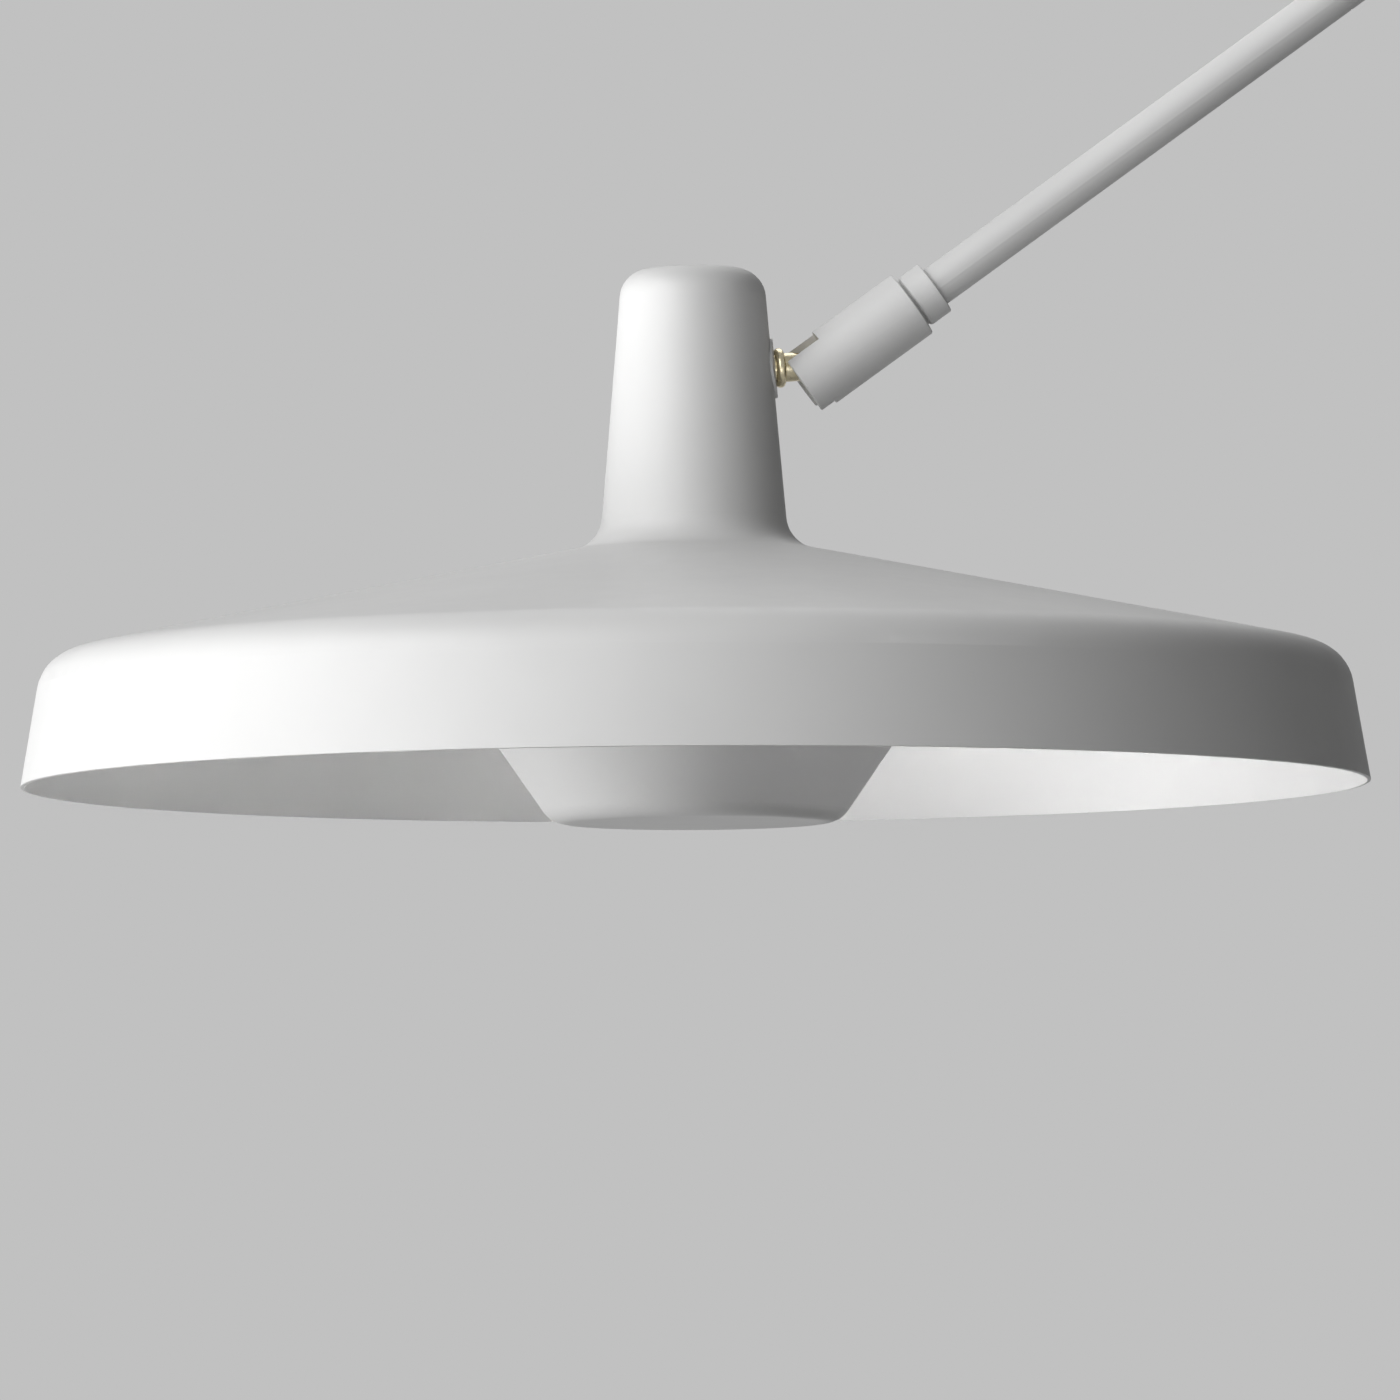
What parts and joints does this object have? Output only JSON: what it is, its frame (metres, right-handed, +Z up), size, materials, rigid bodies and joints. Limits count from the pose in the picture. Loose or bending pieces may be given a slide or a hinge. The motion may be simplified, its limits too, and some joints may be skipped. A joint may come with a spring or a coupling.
{
  "type": "floor lamp",
  "caption": "Floor lamp: round weighted base, straight mast, long drooping arm on knuckle joints, and a wide shallow spun shade with a glare cup under the bulb.",
  "frame": {"origin": "centre of the underside of the base, on the mast's axis", "axes": "+Z up along the mast; at rest the arm droops towards -X; +Y is the side away from the viewer who sees the head on the left"},
  "size_m": [1.2902, 0.45, 1.8082],
  "materials": {
    "white_steel": "matte",
    "white_aluminium": "matte",
    "polished_brass": "polished",
    "zinc_steel": "satin",
    "black_screw": "satin",
    "cast_weight": "matte",
    "rubber_pad": "matte",
    "cable_sheath": "satin",
    "black_nylon": "matte",
    "white_nylon": "matte",
    "holder_plastic": "satin",
    "holder_core": "gloss",
    "frosted_glass": "satin"
  },
  "bodies": {
    "stand": {"base_pad": "rubber_pad", "base_weight": "cast_weight", "base_cover": "white_steel", "cable_gland": "black_nylon", "mast_socket": "white_steel", "socket_screws": "black_screw", "socket_grub_screw": "black_screw", "mast_lower_tube": "white_steel", "mast_joiner": "white_steel", "mast_upper_tube": "white_steel", "mast_spindle": "zinc_steel", "mast_swivel_washer": "black_nylon", "mast_lead": "cable_sheath"},
    "mast_head": {"mast_head": "white_aluminium", "mast_head_lid": "white_aluminium", "mast_head_grub_screw": "black_screw", "elbow_saddle_washer": "white_steel", "elbow_inner_washer": "zinc_steel", "elbow_knuckle": "polished_brass", "elbow_flange_nut": "polished_brass", "elbow_lock_nut": "zinc_steel"},
    "arm": {"elbow_barrel": "white_aluminium", "elbow_barrel_grub_screw": "black_screw", "elbow_pivot_screw": "black_screw", "elbow_friction_washers": "black_nylon", "elbow_collar": "white_steel", "elbow_spindle": "zinc_steel", "elbow_swivel_washer": "white_nylon", "arm_tube": "white_steel", "arm_lead": "cable_sheath", "tip_collar": "white_steel", "tip_spindle": "zinc_steel", "tip_swivel_washer": "white_nylon"},
    "wrist": {"tip_barrel": "white_aluminium", "tip_barrel_grub_screw": "black_screw", "tip_pivot_screw": "black_screw", "tip_friction_washers": "black_nylon"},
    "knuckle": {"tip_knuckle": "polished_brass", "tip_flange_nut": "polished_brass", "tip_lock_nut": "zinc_steel"},
    "head": {"shade": "white_aluminium", "head_saddle_washer": "white_steel", "head_inner_washer": "zinc_steel", "holder_bracket": "zinc_steel", "holder_nipple": "zinc_steel", "holder_nut": "zinc_steel", "lampholder_cap": "holder_plastic", "lampholder_skirt": "holder_plastic", "lampholder_core": "holder_core", "holder_ring_nut": "holder_plastic", "bulb_cap": "zinc_steel", "bulb_glass": "frosted_glass", "cup": "white_aluminium", "cup_carrier": "white_steel", "cup_screws": "zinc_steel", "cup_nuts": "polished_brass", "head_lead": "cable_sheath"}
  },
  "joints": [
    {"name": "mast_swivel", "type": "hinge", "parent": "stand", "child": "mast_head", "pos_m": [0, 0, 1.78], "axis": [0, 0, 1], "range_deg": [-170, 170]},
    {"name": "elbow_tilt", "type": "hinge", "parent": "mast_head", "child": "arm", "pos_m": [-0.0355, 0, 1.78], "axis": [0, 1, 0], "range_deg": [-22, 66]},
    {"name": "wrist_roll", "type": "hinge", "parent": "arm", "child": "wrist", "pos_m": [-0.84707, 0, 1.19575], "axis": [0.8116, 0, 0.5842], "range_deg": [-150, 150]},
    {"name": "head_tilt", "type": "hinge", "parent": "wrist", "child": "knuckle", "pos_m": [-0.84707, 0, 1.19575], "axis": [-0.1394, 0.9711, 0.1936], "range_deg": [-58, 27]},
    {"name": "head_swivel", "type": "hinge", "parent": "knuckle", "child": "head", "pos_m": [-0.84707, 0, 1.19575], "axis": [0.9885, 0.1248, 0.0857], "range_deg": [-45, 45]}
  ]
}
